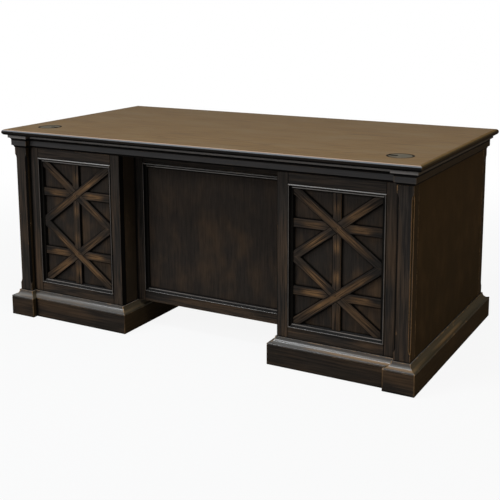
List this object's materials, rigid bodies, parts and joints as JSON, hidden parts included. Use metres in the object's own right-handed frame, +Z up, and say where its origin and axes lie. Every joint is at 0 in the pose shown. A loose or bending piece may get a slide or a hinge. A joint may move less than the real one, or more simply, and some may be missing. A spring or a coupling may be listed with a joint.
{
  "type": "double pedestal desk",
  "caption": "Executive desk on drawer pedestals, with lattice-panelled fronts, corner pilasters, a moulded cornice and plinth, a drop-front centre drawer and cable grommets.",
  "frame": {"origin": "on the floor, under the middle of the top", "axes": "+X to the right along the panelled front as a visitor sees it, +Y from the panelled front to the drawer side, +Z up"},
  "size_m": [1.727, 0.914, 0.762],
  "materials": {
    "dark_finish": "rubbed black-brown paint, satin",
    "lattice_finish": "black-brown paint rubbed through to brown, satin",
    "top_veneer": "weathered brown veneer, satin lacquer",
    "carcass_wood": "bare wood",
    "drawer_wood": "clear lacquer",
    "grommet_plastic": "fine matt",
    "pull_metal": "dark bronze",
    "slide_steel": "zinc plated",
    "glide_plastic": "plain"
  },
  "bodies": {
    "desk": {"cornice_moulding": "dark_finish", "floor_glides": "glide_plastic", "frieze_moulding": "dark_finish", "grommet_liners": "grommet_plastic", "joining_hardware": "slide_steel", "left_corner_posts": "dark_finish", "left_face_frame": "dark_finish", "left_field_panel": "dark_finish", "left_front_frame": "dark_finish", "left_inner_side": "dark_finish", "left_lattice": "lattice_finish", "left_outer_side": "dark_finish", "left_panel_moulding": "dark_finish", "left_plinth": "dark_finish", "left_plinth_cap": "dark_finish", "modesty_frame": "dark_finish", "modesty_moulding": "dark_finish", "modesty_panel": "dark_finish", "pedestal_bottoms": "carcass_wood", "right_corner_posts": "dark_finish", "right_face_frame": "dark_finish", "right_field_panel": "dark_finish", "right_front_frame": "dark_finish", "right_inner_side": "dark_finish", "right_lattice": "lattice_finish", "right_outer_side": "dark_finish", "right_panel_moulding": "dark_finish", "right_plinth": "dark_finish", "right_plinth_cap": "dark_finish", "slide_channels": "slide_steel", "slide_cleats": "carcass_wood", "top_frame": "carcass_wood", "top_lipping": "dark_finish", "top_panel": "top_veneer"},
    "left_utility_drawer": {"left_utility_front": "dark_finish", "left_utility_box": "drawer_wood", "left_utility_pull": "pull_metal", "left_utility_runners": "slide_steel"},
    "left_file_drawer": {"left_file_front": "dark_finish", "left_file_box": "drawer_wood", "left_file_pull": "pull_metal", "left_file_runners": "slide_steel", "left_file_rails": "slide_steel"},
    "left_cap": {"left_grommet_cap": "grommet_plastic"},
    "right_utility_drawer": {"right_utility_front": "dark_finish", "right_utility_box": "drawer_wood", "right_utility_pull": "pull_metal", "right_utility_runners": "slide_steel"},
    "right_file_drawer": {"right_file_front": "dark_finish", "right_file_box": "drawer_wood", "right_file_pull": "pull_metal", "right_file_runners": "slide_steel", "right_file_rails": "slide_steel"},
    "right_cap": {"right_grommet_cap": "grommet_plastic"},
    "centre_tray_body": {"centre_tray": "drawer_wood", "centre_runners": "slide_steel", "drop_front_tray_hinges": "slide_steel"},
    "drop_front": {"centre_drop_front": "dark_finish", "centre_pulls": "pull_metal", "drop_front_hinge_leaves": "slide_steel"}
  },
  "joints": [
    {"name": "left_utility_slide", "type": "slide", "parent": "desk", "child": "left_utility_drawer", "axis": [0, 1, 0], "range_m": [0, 0.41]},
    {"name": "left_file_slide", "type": "slide", "parent": "desk", "child": "left_file_drawer", "axis": [0, 1, 0], "range_m": [0, 0.41]},
    {"name": "right_utility_slide", "type": "slide", "parent": "desk", "child": "right_utility_drawer", "axis": [0, 1, 0], "range_m": [0, 0.41]},
    {"name": "right_file_slide", "type": "slide", "parent": "desk", "child": "right_file_drawer", "axis": [0, 1, 0], "range_m": [0, 0.41]},
    {"name": "centre_tray_slide", "type": "slide", "parent": "desk", "child": "centre_tray_body", "axis": [0, 1, 0], "range_m": [0, 0.26]},
    {"name": "drop_front_hinge", "type": "hinge", "parent": "centre_tray_body", "child": "drop_front", "pos_m": [0, 0.3857, 0.6407], "axis": [-1, 0, 0], "range_deg": [0, 90]},
    {"name": "left_grommet_turn", "type": "hinge", "parent": "desk", "child": "left_cap", "pos_m": [-0.74, -0.31, 0.762], "axis": [0, 0, 1], "continuous": true},
    {"name": "right_grommet_turn", "type": "hinge", "parent": "desk", "child": "right_cap", "pos_m": [0.74, -0.31, 0.762], "axis": [0, 0, 1], "continuous": true}
  ]
}
